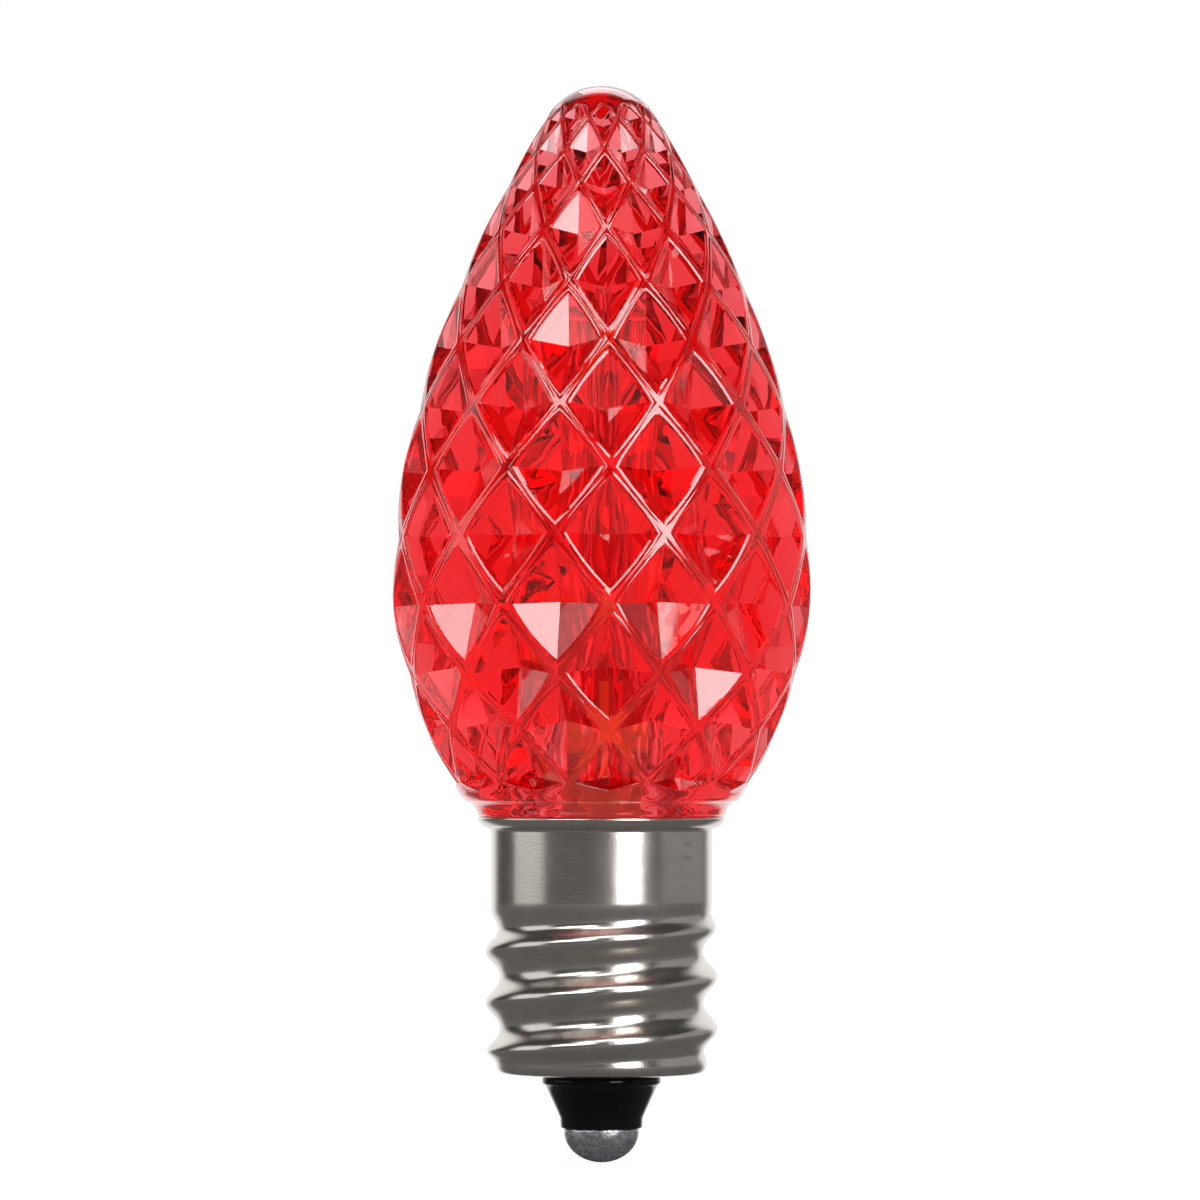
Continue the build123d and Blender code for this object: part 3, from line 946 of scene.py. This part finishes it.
def add_floor():
    bm = bmesh.new()
    bmesh.ops.create_grid(bm, x_segments=1, y_segments=1, size=FLOOR_HALF)
    mesh = bpy.data.meshes.new("floor")
    bm.to_mesh(mesh)
    bm.free()
    floor = bpy.data.objects.new("floor", mesh)
    bpy.context.scene.collection.objects.link(floor)
    material, tree = new_material("floor_white")
    place = add_node(tree, "ShaderNodeTexCoord").outputs["Object"]
    direction = add_node(tree, "ShaderNodeVectorMath", {0: place}, operation="NORMALIZE").outputs["Vector"]
    surface(
        tree,
        {
            "Base Color": mottled(tree, (FLOOR_GREY,) * 3, 0.01, noise(tree, 30.0)),
            "Roughness": FLOOR_ROUGHNESS,
            "Emission Color": WHITE,
            "Emission Strength": floor_fill_with_painted_shade(tree, place, room_strength(tree, direction, 0.0)),
        },
    )
    mesh.materials.append(material)


def add_world(room_light):
    world = bpy.data.worlds.new("room")
    world.use_nodes = True
    tree = world.node_tree
    tree.nodes.clear()
    direction = add_node(tree, "ShaderNodeTexCoord").outputs["Generated"]
    strength = room_strength(tree, direction, room_light)
    light = add_node(tree, "ShaderNodeBackground", {"Color": WHITE, "Strength": strength})
    add_node(tree, "ShaderNodeOutputWorld", {"Surface": light.outputs["Background"]})
    bpy.context.scene.world = world


def add_lamp(name, turn, height, size, radiance):
    """A soft rectangular lamp, turned from the front around the axis, that faces the lens."""
    light = bpy.data.lights.new(name, "AREA")
    light.shape = "RECTANGLE"
    light.size, light.size_y = size
    light.energy = radiance * pi * size[0] * size[1]
    lamp = bpy.data.objects.new(name, light)
    bpy.context.scene.collection.objects.link(lamp)
    lamp.location = (LAMP_DISTANCE * sin(turn), -LAMP_DISTANCE * cos(turn), height)
    lamp.rotation_euler = (LAMP_AIM - lamp.location).to_track_quat("-Z", "Y").to_euler()


def add_camera(s):
    data = bpy.data.cameras.new("camera")
    data.sensor_width = SENSOR_WIDTH
    data.lens = SENSOR_WIDTH * s.camera_distance / s.view_width
    data.clip_start = CLIP_START
    camera = bpy.data.objects.new("camera", data)
    bpy.context.scene.collection.objects.link(camera)
    back = Vector((0.0, -cos(s.camera_rise), -sin(s.camera_rise)))
    camera.location = CAMERA_AIM + back * s.camera_distance
    camera.rotation_euler = (-back).to_track_quat("-Z", "Y").to_euler()
    bpy.context.scene.camera = camera


# Operators


class LAMP_OT_lens(Operator):
    """Build the diamond-cut lens"""

    bl_idname = "lamp.lens"
    bl_label = "Lens"

    def execute(self, context):
        s = context.scene.lamp_lens
        piece = finished_piece(lens_mesh(s), "faceted_lens", "lens")
        piece.data.materials.append(clear_red(s))
        return {"FINISHED"}


class LAMP_OT_shell(Operator):
    """Build the rolled screw shell"""

    bl_idname = "lamp.shell"
    bl_label = "Screw shell"

    def execute(self, context):
        s = context.scene.lamp_cap
        piece = finished_piece(shell_mesh(s), "rolled_screw_shell", "screw_shell")
        piece.data.materials.append(plated("nickel_plate", s.plate_colour))
        return {"FINISHED"}


class LAMP_OT_base(Operator):
    """Build the insulator and the centre contact"""

    bl_idname = "lamp.base"
    bl_label = "Insulator and contact"

    def execute(self, context):
        s = context.scene.lamp_cap
        piece = finished_piece(insulator_mesh(s), "moulded_insulator", "base_insulator")
        piece.data.materials.append(moulded("black_plastic", s.cone_colour, 0.1, 0.3))
        piece = finished_piece(contact_mesh(), "soldered_contact", "centre_contact")
        piece.data.materials.append(solder(s.solder_colour))
        return {"FINISHED"}


class LAMP_OT_inside(Operator):
    """Dress the board, the diodes and the leads that the frame brings"""

    bl_idname = "lamp.inside"
    bl_label = "Inside"

    def execute(self, context):
        # The diode packages get a faint painted glow in their own colour.
        package = moulded("led_package", (0.95, 0.5, 0.1), 0.4, glow=0.25)
        chip = moulded("chip_mould", (0.30, 0.18, 0.10), 0.5)
        wire = plated("tinned_wire", (0.55, 0.53, 0.5))
        for name in ("led_front", "led_back", "led_top"):
            dress(name, package)
        for name in ("rectifier", "dropper_resistor"):
            dress(name, chip)
        for name in ("contact_lead", "shell_lead"):
            dress(name, wire)
        dress("circuit_board", moulded("board_laminate", (0.85, 0.6, 0.3), 0.5))
        dress("smoothing_capacitor", moulded("capacitor_body", (0.7, 0.5, 0.25), 0.5))
        return {"FINISHED"}


class LAMP_OT_stage(Operator):
    """Set the floor, the lamps, the world and the camera"""

    bl_idname = "lamp.stage"
    bl_label = "Stage"

    def execute(self, context):
        s = context.scene.lamp_stage
        add_floor()
        add_world(s.room_light)
        # Each lamp's turn from the front, height, width and height of its face, and brightness
        for name, turn, height, size, radiance in (
            ("key_lamp", 29, 0.16, (0.20, 0.45), s.key_light),
            ("side_lamp", -82, 0.10, (0.34, 0.40), s.side_light),
            ("right_lamp", 98, 0.10, (0.60, 0.40), RIGHT_SHARE * s.side_light),
            ("top_lamp", 170, 0.55, (0.50, 0.30), s.top_light),
            ("fill_lamp", -34, 0.30, (0.36, 0.12), s.fill_light),
            ("front_lamp", 0, 0.64, (0.60, 0.10), s.fill_light),
        ):
            add_lamp(name, radians(turn), height, size, radiance)
        add_camera(s)
        context.scene.view_settings.view_transform = "Standard"
        return {"FINISHED"}


class LAMP_PT_panel(Panel):
    """Sizes, colours and build steps of the lamp"""

    bl_idname = "LAMP_PT_panel"
    bl_label = "Festive Lamp"
    bl_space_type = "VIEW_3D"
    bl_region_type = "UI"
    bl_category = "Festive Lamp"

    def draw(self, context):
        for group, operators in STEPS.items():
            box = self.layout.box()
            settings = getattr(context.scene, group)
            for name in settings.__annotations__:
                box.prop(settings, name)
            for operator in operators:
                box.operator(operator.bl_idname)


STEPS = {
    "lamp_lens": (LAMP_OT_lens,),
    "lamp_cap": (LAMP_OT_shell, LAMP_OT_base),
    "lamp_stage": (LAMP_OT_inside, LAMP_OT_stage),
}
SETTINGS = {"lamp_lens": LensSettings, "lamp_cap": CapSettings, "lamp_stage": StageSettings}
CLASSES = (
    LensSettings,
    CapSettings,
    StageSettings,
    LAMP_OT_lens,
    LAMP_OT_shell,
    LAMP_OT_base,
    LAMP_OT_inside,
    LAMP_OT_stage,
    LAMP_PT_panel,
)


def register():
    for cls in CLASSES:
        bpy.utils.register_class(cls)
    for name, settings in SETTINGS.items():
        setattr(bpy.types.Scene, name, PointerProperty(type=settings))


def unregister():
    for name in SETTINGS:
        delattr(bpy.types.Scene, name)
    for cls in reversed(CLASSES):
        bpy.utils.unregister_class(cls)


def main():
    register()
    for step in ("lens", "shell", "base", "inside", "stage"):
        getattr(bpy.ops.lamp, step)()


if __name__ == "__main__":
    main()
